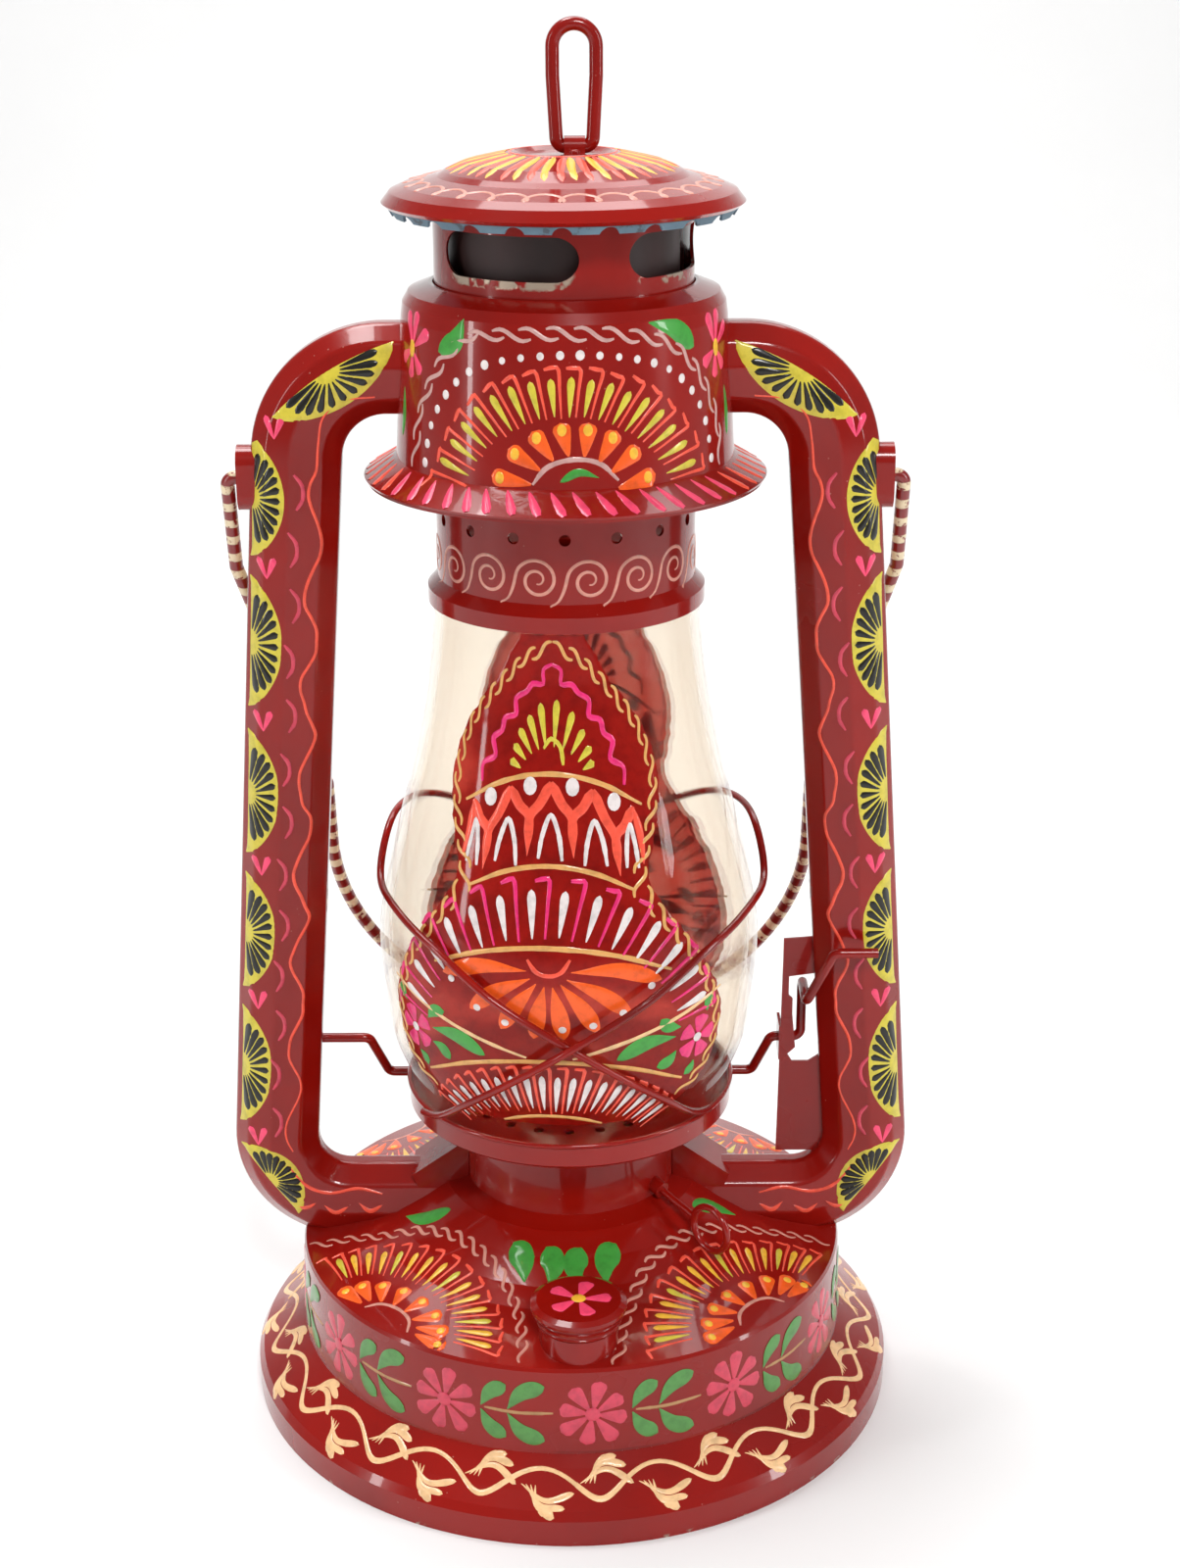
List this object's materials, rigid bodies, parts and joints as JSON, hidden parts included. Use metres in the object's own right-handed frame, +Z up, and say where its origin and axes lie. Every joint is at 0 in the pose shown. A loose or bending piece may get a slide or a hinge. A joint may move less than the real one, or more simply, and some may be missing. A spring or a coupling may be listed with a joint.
{
  "type": "oil lamp",
  "caption": "Hurricane oil lamp with side air tubes, a lifting glass globe, a sprung chimney, a wick winder and a wire bail.",
  "frame": {"origin": "centre of the base on the ground", "axes": "+Z up, -Y to the front, where the filler cap is, +X to the lever plate's side"},
  "size_m": [0.1668, 0.16, 0.3306],
  "materials": {
    "red_lacquer": "gloss",
    "globe_glass": "gloss",
    "bare_steel": "satin",
    "spring_steel": "satin",
    "wick_cotton": "matte",
    "cork_gasket": "matte",
    "grey_paint": "satin"
  },
  "bodies": {
    "frame": {"base_skirt": "red_lacquer", "tank_bottom": "red_lacquer", "tank_wall": "red_lacquer", "tank_dome": "red_lacquer", "filler_neck": "red_lacquer", "filler_boss": "red_lacquer", "burner_collar": "red_lacquer", "burner_base": "bare_steel", "wick_tube": "bare_steel", "spindle_bush": "red_lacquer", "tube_left": "red_lacquer", "tube_right": "red_lacquer", "elbow_left": "red_lacquer", "elbow_right": "red_lacquer", "horn_left": "red_lacquer", "horn_right": "red_lacquer", "bail_ear_left": "red_lacquer", "bail_ear_right": "red_lacquer", "lever_plate": "red_lacquer", "drum_shell": "red_lacquer", "drum_floor": "red_lacquer", "chimney_spring": "spring_steel"},
    "globe_carriage": {"globe_plate": "red_lacquer", "burner_cone": "bare_steel", "globe": "globe_glass", "guard_wire_left": "red_lacquer", "guard_wire_right": "red_lacquer"},
    "lift_lever": {"lift_wire": "red_lacquer"},
    "chimney": {"crown": "red_lacquer", "chimney_neck": "red_lacquer", "draught_tube": "red_lacquer", "cap": "red_lacquer", "cap_underplate": "grey_paint", "ring_strap": "red_lacquer", "strap_rivets": "red_lacquer"},
    "top_ring": {"top_ring": "red_lacquer"},
    "bail": {"bail": "red_lacquer"},
    "gasket": {"filler_gasket": "cork_gasket"},
    "filler_cap": {"filler_cap": "red_lacquer"},
    "wick_spindle": {"wick_spindle": "red_lacquer"},
    "wick": {"wick": "wick_cotton"}
  },
  "joints": [
    {"name": "lift_lever", "type": "hinge", "parent": "frame", "child": "lift_lever", "pos_m": [0, 0.004, 0.088], "axis": [1, 0, 0], "range_deg": [0, 110.2]},
    {"name": "globe_lift", "type": "slide", "parent": "frame", "child": "globe_carriage", "axis": [0, 0, 1], "range_m": [0, 0.0199]},
    {"name": "chimney_lift", "type": "slide", "parent": "globe_carriage", "child": "chimney", "axis": [0, 0, 1], "range_m": [0, 0.005], "stiffness_N_per_m": 150, "springref_m": -0.02, "deforming": ["chimney_spring"]},
    {"name": "ring_fold", "type": "hinge", "parent": "chimney", "child": "top_ring", "pos_m": [0.0025, 0, 0.3036], "axis": [1, 0, 0], "range_deg": [-78, 78]},
    {"name": "bail_swing", "type": "hinge", "parent": "frame", "child": "bail", "pos_m": [0, 0, 0.2309], "axis": [1, 0, 0], "range_deg": [0, 324.8]},
    {"name": "cap_rise", "type": "slide", "parent": "frame", "child": "gasket", "axis": [0, 0, 1], "range_m": [0, 0.0075]},
    {"name": "cap_turn", "type": "hinge", "parent": "gasket", "child": "filler_cap", "pos_m": [0.0021, -0.0568, 0.0481], "axis": [0, 0, 1], "range_deg": [0, 900.5]},
    {"name": "wick_turn", "type": "hinge", "parent": "frame", "child": "wick_spindle", "pos_m": [0.00324, 0.00297, 0.06336], "axis": [0.6596, -0.7198, -0.2164], "range_deg": [-98.42, 98.42]},
    {"name": "wick_rise", "type": "slide", "parent": "frame", "child": "wick", "axis": [0, 0, 1], "range_m": [-0.006, 0.006]}
  ],
  "couplings": [
    {"joint": "lift_lever", "follows": "globe_lift", "rad_per_m": 96.493},
    {"joint": "cap_turn", "follows": "cap_rise", "rad_per_m": 2094.4},
    {"joint": "wick_turn", "follows": "wick_rise", "rad_per_m": 285.71}
  ]
}
